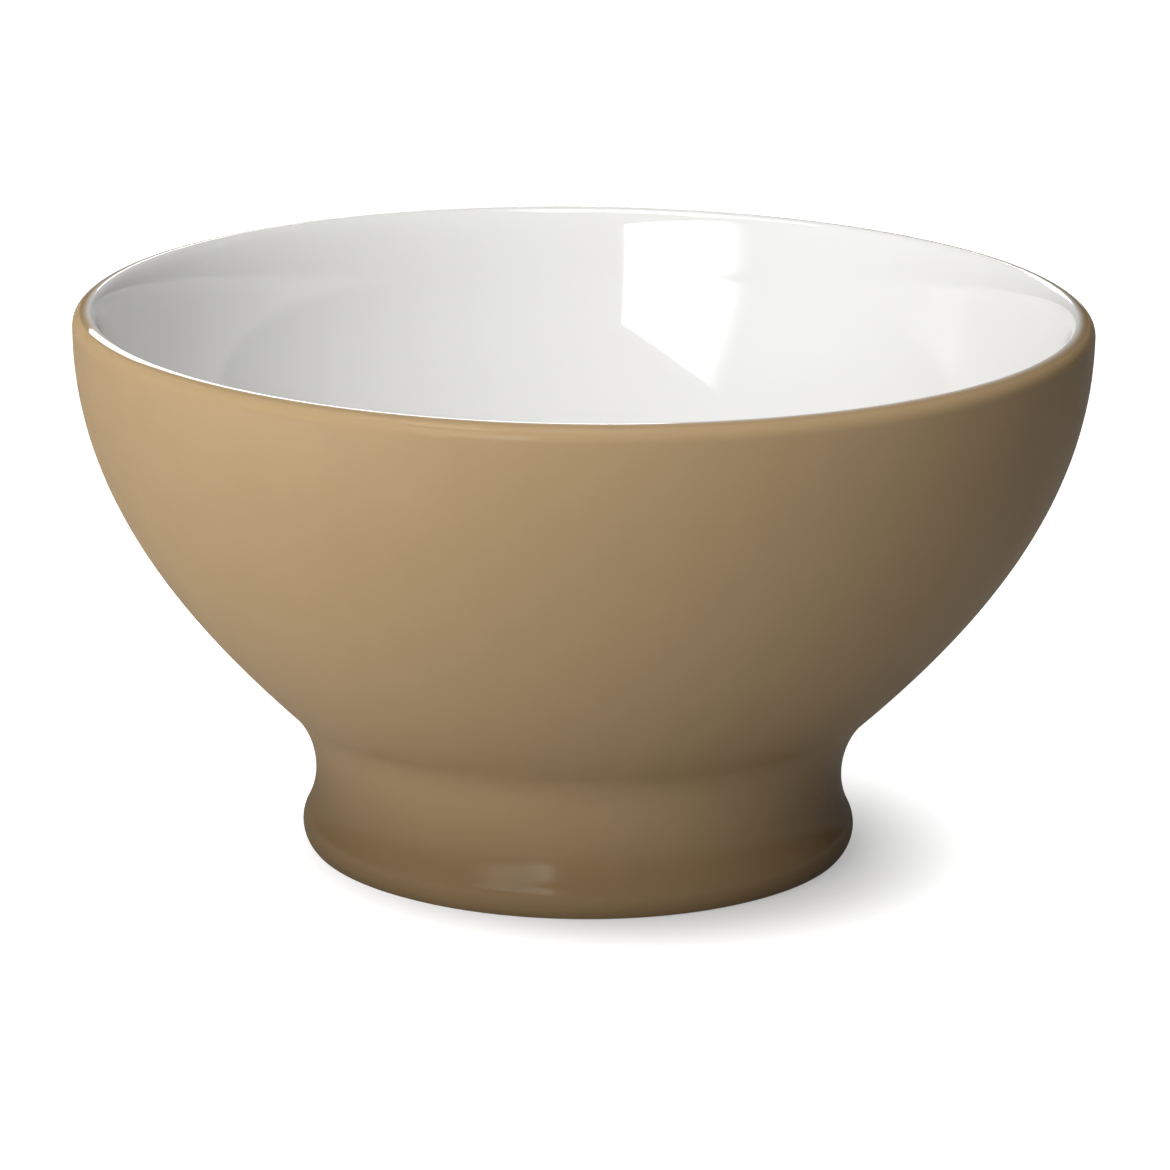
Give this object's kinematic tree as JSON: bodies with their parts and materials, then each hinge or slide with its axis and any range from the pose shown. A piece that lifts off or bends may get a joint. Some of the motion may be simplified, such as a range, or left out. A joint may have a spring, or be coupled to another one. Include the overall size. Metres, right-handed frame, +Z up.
{
  "type": "latte bowl",
  "caption": "Round latte bowl on a drawn-in, flared foot: glossy coloured glaze outside, white glaze inside and over the lip, a hollow under the foot, to drink or eat from.",
  "frame": {"origin": "on the table, in the middle of the standing ring, on the axis of the bowl", "axes": "+Z up along the axis of the bowl; X and Y are level and alike, because the bowl is round, and the picture looks along +Y"},
  "size_m": [0.14, 0.14, 0.0762],
  "materials": {
    "china_body": "matte fired clay, bare on the standing ring",
    "white_glaze": "gloss",
    "coloured_glaze": "gloss"
  },
  "bodies": {
    "root": {"bowl_body": "china_body", "foot_ring": "china_body", "slip_joint": "china_body", "inside_glaze": "white_glaze", "outside_glaze": "coloured_glaze", "underside_glaze": "white_glaze"}
  },
  "joints": []
}
